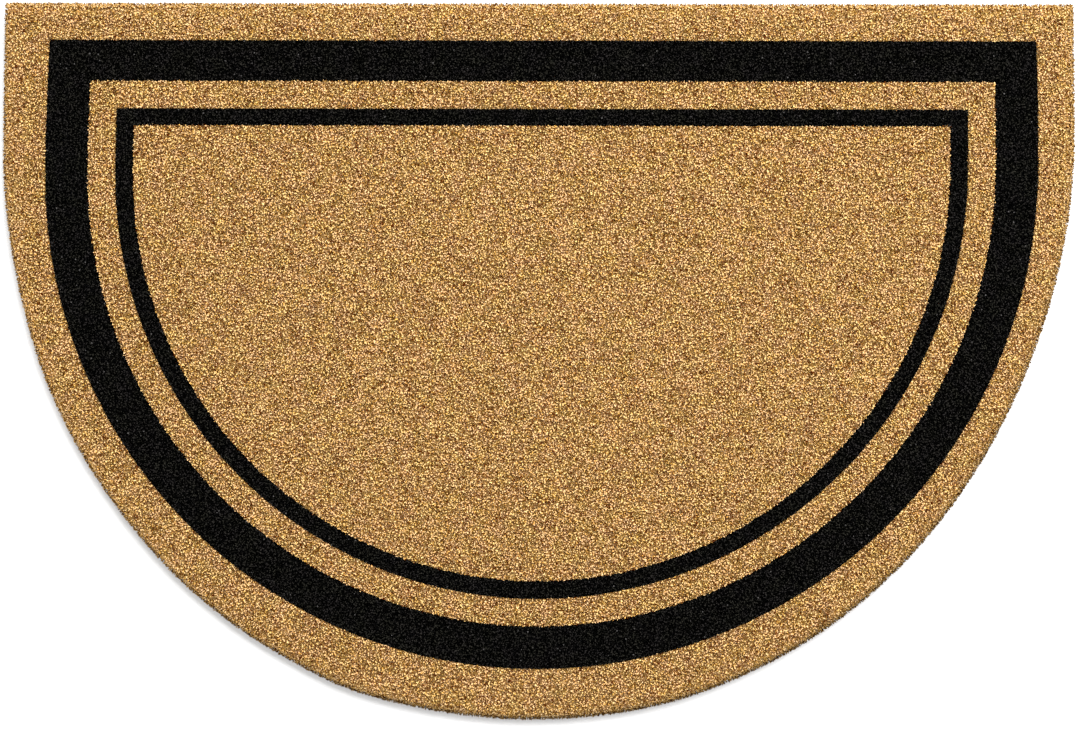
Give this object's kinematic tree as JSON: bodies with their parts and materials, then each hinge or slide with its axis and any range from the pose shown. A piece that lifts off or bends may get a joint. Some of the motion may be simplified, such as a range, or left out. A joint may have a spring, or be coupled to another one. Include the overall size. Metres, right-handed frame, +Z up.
{
  "type": "half round doormat",
  "caption": "Half round coir doormat: a thin flat mat with a straight back edge, a rounded front edge, a short cut pile and a plain dark double border.",
  "frame": {"origin": "on the floor, at the middle of the outline's bounding box", "axes": "+X along the straight back edge, +Y towards the back edge, +Z up out of the pile"},
  "size_m": [0.9148, 0.6104, 0.015],
  "materials": {
    "natural_coir": "dry matte cut coconut fibre, golden tan with darker gaps between the tips",
    "black_coir": "the same fibre printed black for the border, matte with a faint grey sheen",
    "vinyl_backing": "dull dark soft vinyl with a fine pebbled face, under the pile"
  },
  "bodies": {
    "root": {"coir_mat": "natural_coir"}
  },
  "joints": []
}
